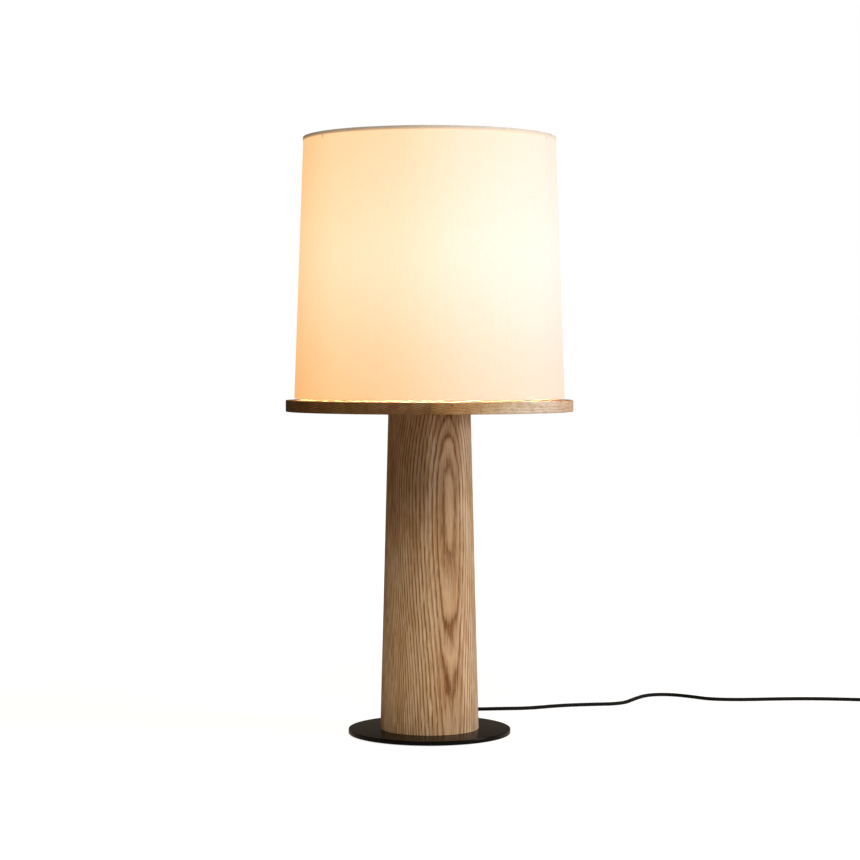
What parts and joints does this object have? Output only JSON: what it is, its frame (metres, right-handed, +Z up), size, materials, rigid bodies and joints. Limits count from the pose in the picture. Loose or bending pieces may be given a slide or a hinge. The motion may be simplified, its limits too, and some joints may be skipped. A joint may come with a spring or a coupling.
{
  "type": "table lamp",
  "caption": "Column table lamp: turned wooden column on a round steel base, round wooden tray and a tapered drum shade lifted clear on a harp, with corded switch and plug.",
  "frame": {"origin": "centre of the underside of the base, on the surface that the lamp stands on", "axes": "+Z up along the column, -Y towards the viewer, +Y towards the cord's exit, +X to the right"},
  "size_m": [0.9397, 0.5553, 0.846],
  "materials": {
    "ash_wood": "matte oiled ash with open grain",
    "black_steel": "fine-textured matte black powder coat",
    "foot_pad": "matte foam rubber",
    "zinc_steel": "bright zinc plated",
    "brass": "satin brass",
    "nickel": "satin nickel plated",
    "insulation": "pressed fibre sleeve",
    "phenolic": "moulded phenolic",
    "bulb_glass": "frosted inside, lit",
    "filament": "lit filament sticks on a glass stem",
    "shade_cloth": "off-white slubbed cotton and linen weave",
    "shade_liner": "white translucent lampshade film",
    "white_wire": "white coated steel wire",
    "cord_braid": "black braided textile over flex",
    "black_plastic": "fine spark-eroded texture"
  },
  "bodies": {
    "lamp": {"base_pad": "foot_pad", "base_plate": "black_steel", "base_screws": "zinc_steel", "column": "ash_wood", "cord_bushing": "black_plastic", "inner_lead": "cord_braid", "lamp_pipe": "zinc_steel", "bottom_washer": "zinc_steel", "bottom_nut": "zinc_steel", "tray_left_board": "ash_wood", "tray_right_board": "ash_wood", "tray_dowels": "ash_wood", "tray_washer": "brass", "tray_nut": "zinc_steel", "neck": "brass", "harp_saddle": "nickel", "socket_cap": "brass", "socket_shell": "brass", "socket_liner": "insulation", "terminal_block": "phenolic", "terminal_screws": "brass", "screw_shell": "brass", "centre_contact": "brass", "cord_lamp_side": "cord_braid", "cord_plug_side": "cord_braid", "cord_tail": "cord_braid", "cord_coil": "cord_braid", "switch_base": "black_plastic", "switch_cover": "black_plastic", "switch_screws": "zinc_steel", "plug_body": "black_plastic", "plug_blades": "brass"},
    "harp": {"harp": "nickel", "harp_stud": "brass"},
    "ferrule_left": {"ferrule_left": "nickel"},
    "ferrule_right": {"ferrule_right": "nickel"},
    "shade": {"shade_fabric": "shade_cloth", "shade_liner": "shade_liner", "top_hem": "shade_cloth", "bottom_hem": "shade_cloth", "top_ring": "white_wire", "bottom_ring": "white_wire", "spider": "white_wire"},
    "finial": {"finial": "brass"},
    "bulb": {"bulb_cap": "nickel", "bulb_contact": "zinc_steel", "bulb_insulator": "phenolic", "bulb_glass": "bulb_glass", "bulb_filament": "filament"},
    "rocker": {"switch_rocker": "black_plastic"}
  },
  "joints": [
    {"name": "harp_lift", "type": "slide", "parent": "lamp", "child": "harp", "axis": [0, 0, 1], "range_m": [0, 0.012]},
    {"name": "ferrule_left_slide", "type": "slide", "parent": "harp", "child": "ferrule_left", "axis": [0, 0, 1], "range_m": [0, 0.012]},
    {"name": "ferrule_right_slide", "type": "slide", "parent": "harp", "child": "ferrule_right", "axis": [0, 0, 1], "range_m": [0, 0.012]},
    {"name": "shade_lift", "type": "slide", "parent": "harp", "child": "shade", "axis": [0, 0, 1], "range_m": [0, 0.36]},
    {"name": "finial_turn", "type": "hinge", "parent": "shade", "child": "finial", "pos_m": [0, 0, 0.83], "axis": [0, 0, 1], "continuous": true},
    {"name": "bulb_turn", "type": "hinge", "parent": "lamp", "child": "bulb", "pos_m": [0, 0, 0.6], "axis": [0, 0, 1], "continuous": true},
    {"name": "switch_rock", "type": "hinge", "parent": "lamp", "child": "rocker", "pos_m": [0.724, 0.195, 0.0122], "axis": [1, 0, 0], "range_deg": [-16, 0]}
  ]
}
